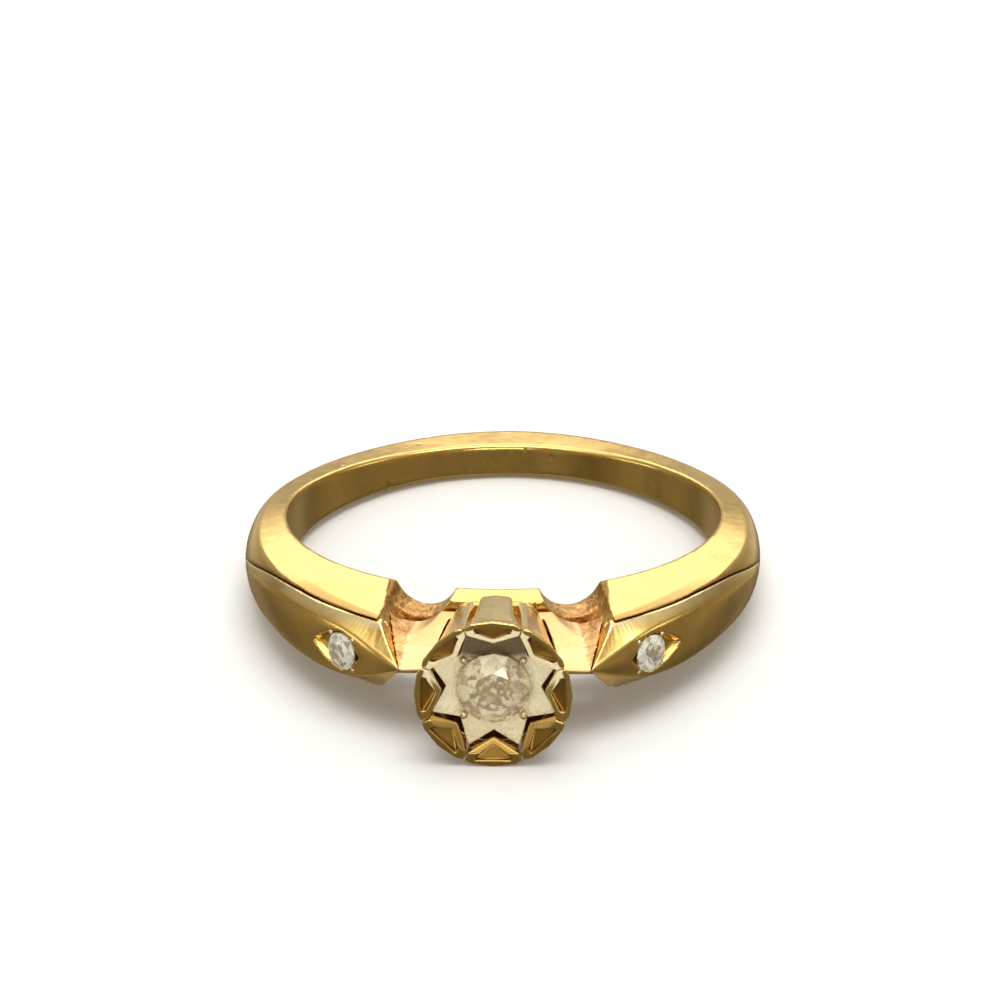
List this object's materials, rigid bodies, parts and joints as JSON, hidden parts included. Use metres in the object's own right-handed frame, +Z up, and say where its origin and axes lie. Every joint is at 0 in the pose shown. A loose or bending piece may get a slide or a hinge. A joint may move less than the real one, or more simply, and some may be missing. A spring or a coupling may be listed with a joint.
{
  "type": "engagement ring",
  "caption": "Yellow gold ring with a raised petal crown round a brilliant in a star-cut plate, and leaf-shaped shoulders each set with a small brilliant.",
  "frame": {"origin": "centre of the finger hole, half way through the shank's width", "axes": "+Z along the finger hole, -Y towards the crown, +X to the right seen from the crown with +Z up"},
  "size_m": [0.0202, 0.0257, 0.0058],
  "materials": {
    "gold_polished": "polished yellow gold, lightly worn",
    "gold_satin": "cast yellow gold, not polished",
    "gold_bright_cut": "bright-cut yellow gold",
    "diamond": "round brilliant, slightly cloudy"
  },
  "bodies": {
    "root": {"shank_band": "gold_polished", "left_shoulder_leaf": "gold_polished", "right_shoulder_leaf": "gold_polished", "left_crown_web": "gold_satin", "right_crown_web": "gold_satin", "gallery_plate": "gold_polished", "crown_cup": "gold_satin", "petal_claw_1": "gold_polished", "petal_claw_2": "gold_polished", "petal_claw_3": "gold_polished", "petal_claw_4": "gold_polished", "petal_claw_5": "gold_polished", "petal_claw_6": "gold_polished", "petal_claw_7": "gold_polished", "petal_claw_8": "gold_polished", "star_plate": "gold_bright_cut", "centre_diamond": "diamond", "left_shoulder_diamond": "diamond", "right_shoulder_diamond": "diamond", "centre_grain_1": "gold_bright_cut", "centre_grain_2": "gold_bright_cut", "centre_grain_3": "gold_bright_cut", "centre_grain_4": "gold_bright_cut", "left_grain_1": "gold_bright_cut", "left_grain_2": "gold_bright_cut", "left_grain_3": "gold_bright_cut", "left_grain_4": "gold_bright_cut", "right_grain_1": "gold_bright_cut", "right_grain_2": "gold_bright_cut", "right_grain_3": "gold_bright_cut", "right_grain_4": "gold_bright_cut"}
  },
  "joints": []
}
